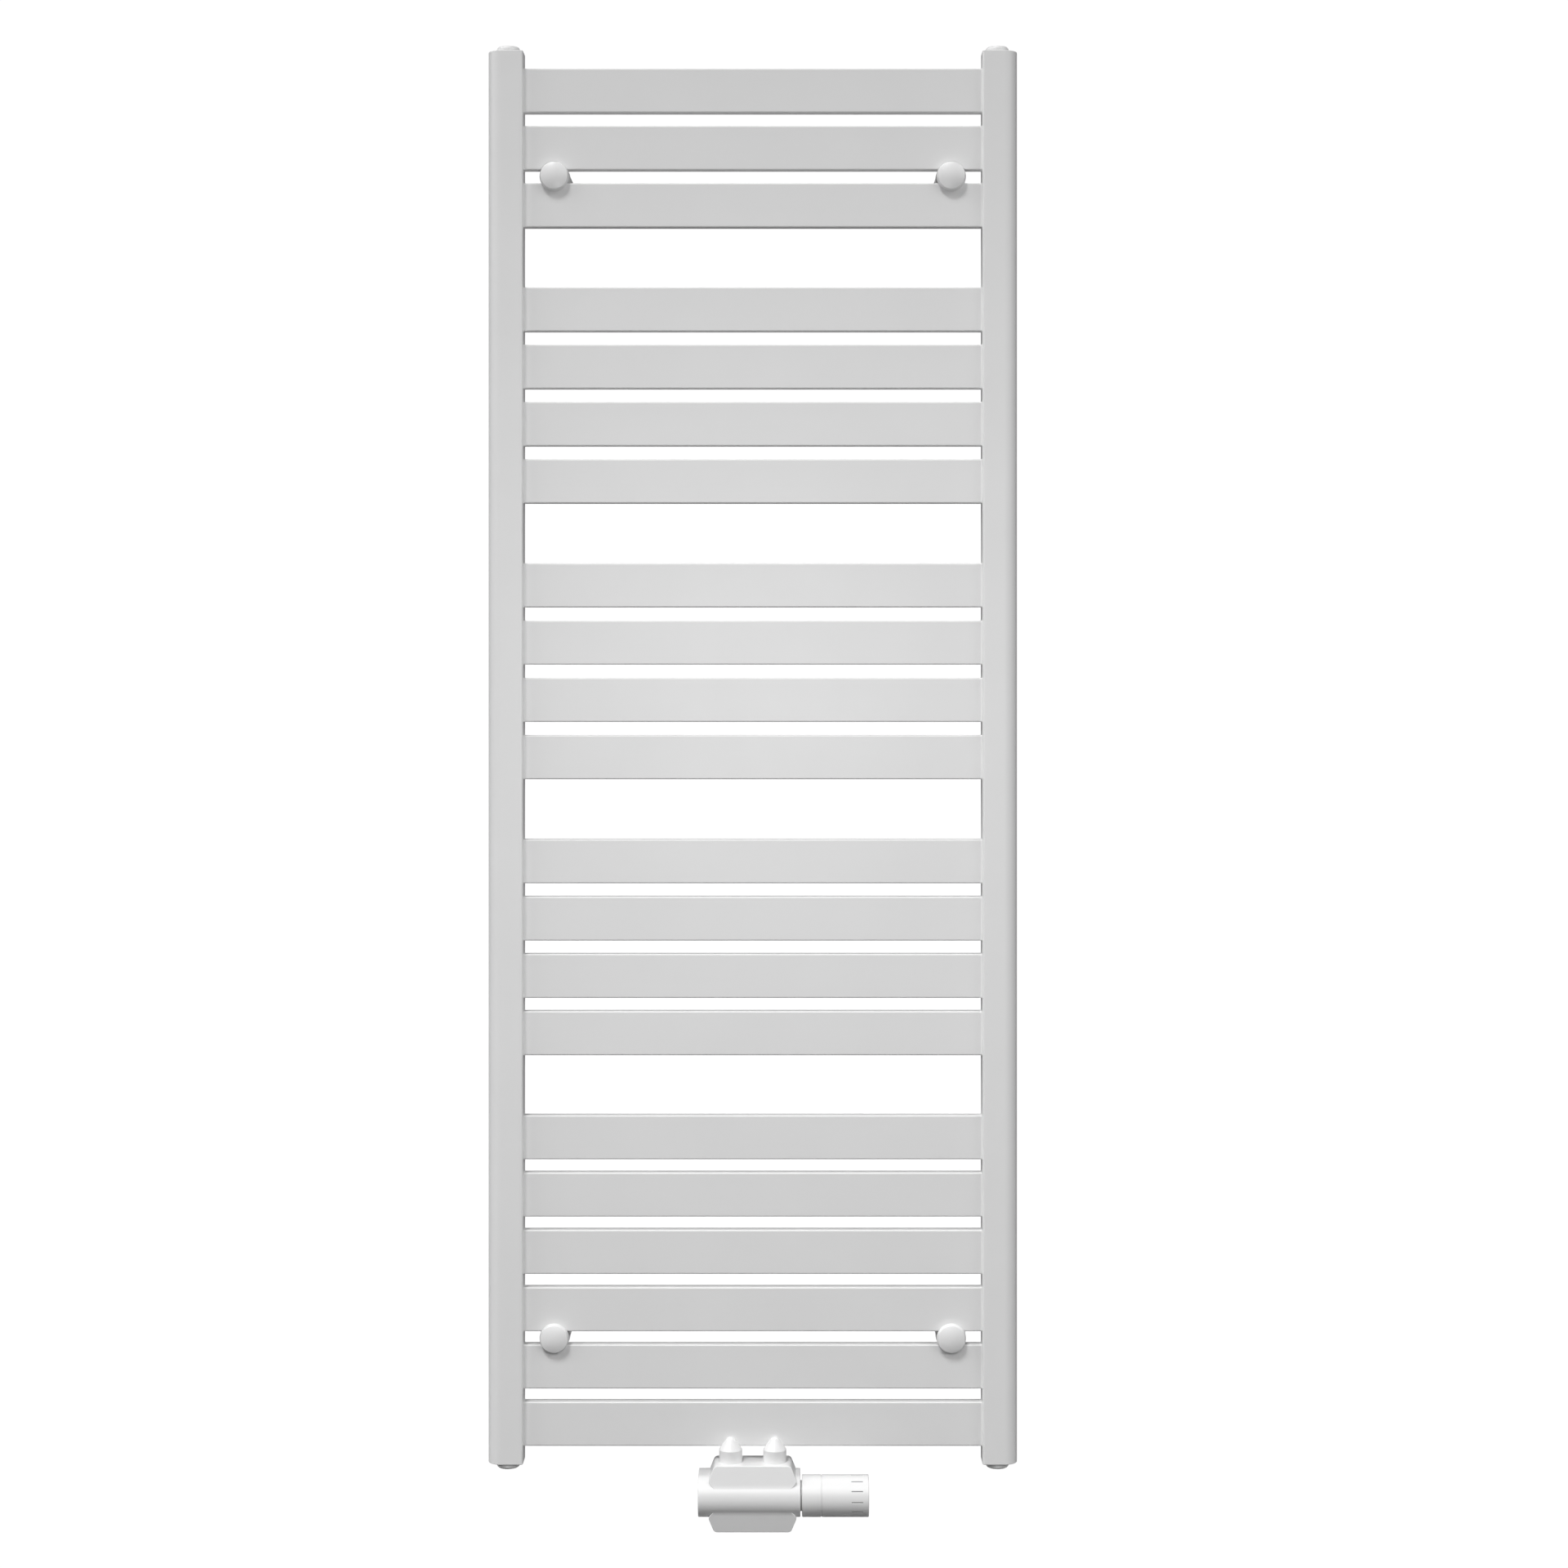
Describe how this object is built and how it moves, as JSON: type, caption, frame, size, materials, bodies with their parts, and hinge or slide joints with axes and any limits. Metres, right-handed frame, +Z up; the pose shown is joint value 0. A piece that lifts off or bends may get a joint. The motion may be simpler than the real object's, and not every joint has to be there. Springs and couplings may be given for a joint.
{
  "type": "towel radiator with valve",
  "caption": "Ladder towel radiator: two D-section collectors, flat rails in groups, button wall brackets, and a covered mid-connection valve with a thermostat head.",
  "frame": {"origin": "on the wall plane, level with the radiator's mid-height and midway between its collectors; the middle of its four wall feet", "axes": "+Z up along the collectors, +Y towards the wall (the radiator's front faces -Y), +X to the right seen from the front"},
  "size_m": [0.6, 0.1089, 1.6777],
  "materials": {
    "radiator_paint": "satin white powder coat on steel",
    "plug_paint": "satin white painted plug",
    "bracket_plastic": "satin white moulded plastic",
    "cover_plastic": "semi-gloss white moulded plastic",
    "head_plastic": "semi-gloss white moulded plastic with engraved scale lines",
    "nickel_brass": "nickel-plated brass",
    "brass_spindle": "turned brass",
    "screw_steel": "zinc-plated steel",
    "sensor_shell": "dark moulded shell of the liquid sensor"
  },
  "bodies": {
    "radiator": {"rail_01": "radiator_paint", "rail_02": "radiator_paint", "rail_03": "radiator_paint", "rail_04": "radiator_paint", "rail_05": "radiator_paint", "rail_06": "radiator_paint", "rail_07": "radiator_paint", "rail_08": "radiator_paint", "rail_09": "radiator_paint", "rail_10": "radiator_paint", "rail_11": "radiator_paint", "rail_12": "radiator_paint", "rail_13": "radiator_paint", "rail_14": "radiator_paint", "rail_15": "radiator_paint", "rail_16": "radiator_paint", "rail_17": "radiator_paint", "rail_18": "radiator_paint", "rail_19": "radiator_paint", "rail_20": "radiator_paint", "rail_21": "radiator_paint", "collector_left": "radiator_paint", "collector_right": "radiator_paint", "plug_top_left": "plug_paint", "plug_bottom_left": "plug_paint", "plug_bottom_right": "plug_paint", "air_vent_body": "plug_paint", "connection_boss_left": "radiator_paint", "connection_boss_right": "radiator_paint", "nipple_left": "nickel_brass", "nipple_right": "nickel_brass", "union_nut_left": "nickel_brass", "union_nut_right": "nickel_brass", "valve_body": "nickel_brass", "thermostatic_insert": "nickel_brass", "head_collar": "head_plastic", "cover_back_plate": "cover_plastic", "bracket_cap_top_left": "bracket_plastic", "clamp_screw_top_left": "screw_steel", "clamp_saddle_top_left": "bracket_plastic", "bracket_cap_top_right": "bracket_plastic", "clamp_screw_top_right": "screw_steel", "clamp_saddle_top_right": "bracket_plastic", "bracket_cap_bottom_left": "bracket_plastic", "clamp_screw_bottom_left": "screw_steel", "clamp_saddle_bottom_left": "bracket_plastic", "bracket_cap_bottom_right": "bracket_plastic", "clamp_screw_bottom_right": "screw_steel", "clamp_saddle_bottom_right": "bracket_plastic"},
    "bleed_screw": {"bleed_screw": "nickel_brass"},
    "knob": {"head_knob": "head_plastic"},
    "actuator": {"sensor_capsule": "sensor_shell", "valve_pin": "screw_steel"},
    "shutoff_left": {"shutoff_plug_left": "brass_spindle"},
    "shutoff_right": {"shutoff_plug_right": "brass_spindle"},
    "cover": {"valve_cover": "cover_plastic"},
    "foot_top_left": {"wall_foot_top_left": "bracket_plastic"},
    "foot_top_right": {"wall_foot_top_right": "bracket_plastic"},
    "foot_bottom_left": {"wall_foot_bottom_left": "bracket_plastic"},
    "foot_bottom_right": {"wall_foot_bottom_right": "bracket_plastic"}
  },
  "joints": [
    {"name": "bleed_screw_turn", "type": "hinge", "parent": "radiator", "child": "bleed_screw", "pos_m": [0.2775, -0.07, 0.8], "axis": [0, 0, 1], "range_deg": [0, 360]},
    {"name": "knob_turn", "type": "hinge", "parent": "radiator", "child": "knob", "pos_m": [0.1, -0.0858, -0.8342], "axis": [1, 0, 0], "range_deg": [-150, 150]},
    {"name": "sensor_travel", "type": "slide", "parent": "radiator", "child": "actuator", "axis": [1, 0, 0], "range_m": [-0.0021, 0.0021]},
    {"name": "shutoff_left_turn", "type": "hinge", "parent": "radiator", "child": "shutoff_left", "pos_m": [-0.025, -0.08, -0.8487], "axis": [0, 1, 0], "range_deg": [0, 90]},
    {"name": "shutoff_right_turn", "type": "hinge", "parent": "radiator", "child": "shutoff_right", "pos_m": [0.025, -0.08, -0.8487], "axis": [0, 1, 0], "range_deg": [0, 90]},
    {"name": "cover_pull", "type": "slide", "parent": "radiator", "child": "cover", "axis": [0, -1, 0], "range_m": [0, 0.05]},
    {"name": "foot_top_left_slide", "type": "slide", "parent": "radiator", "child": "foot_top_left", "axis": [0, 1, 0], "range_m": [-0.008, 0.008]},
    {"name": "foot_top_right_slide", "type": "slide", "parent": "radiator", "child": "foot_top_right", "axis": [0, 1, 0], "range_m": [-0.008, 0.008]},
    {"name": "foot_bottom_left_slide", "type": "slide", "parent": "radiator", "child": "foot_bottom_left", "axis": [0, 1, 0], "range_m": [-0.008, 0.008]},
    {"name": "foot_bottom_right_slide", "type": "slide", "parent": "radiator", "child": "foot_bottom_right", "axis": [0, 1, 0], "range_m": [-0.008, 0.008]}
  ],
  "couplings": [
    {"joint": "sensor_travel", "follows": "knob_turn", "m_per_rad": 0.0008},
    {"joint": "foot_top_right_slide", "follows": "foot_top_left_slide", "ratio": 1},
    {"joint": "foot_bottom_left_slide", "follows": "foot_top_left_slide", "ratio": 1},
    {"joint": "foot_bottom_right_slide", "follows": "foot_top_left_slide", "ratio": 1}
  ]
}
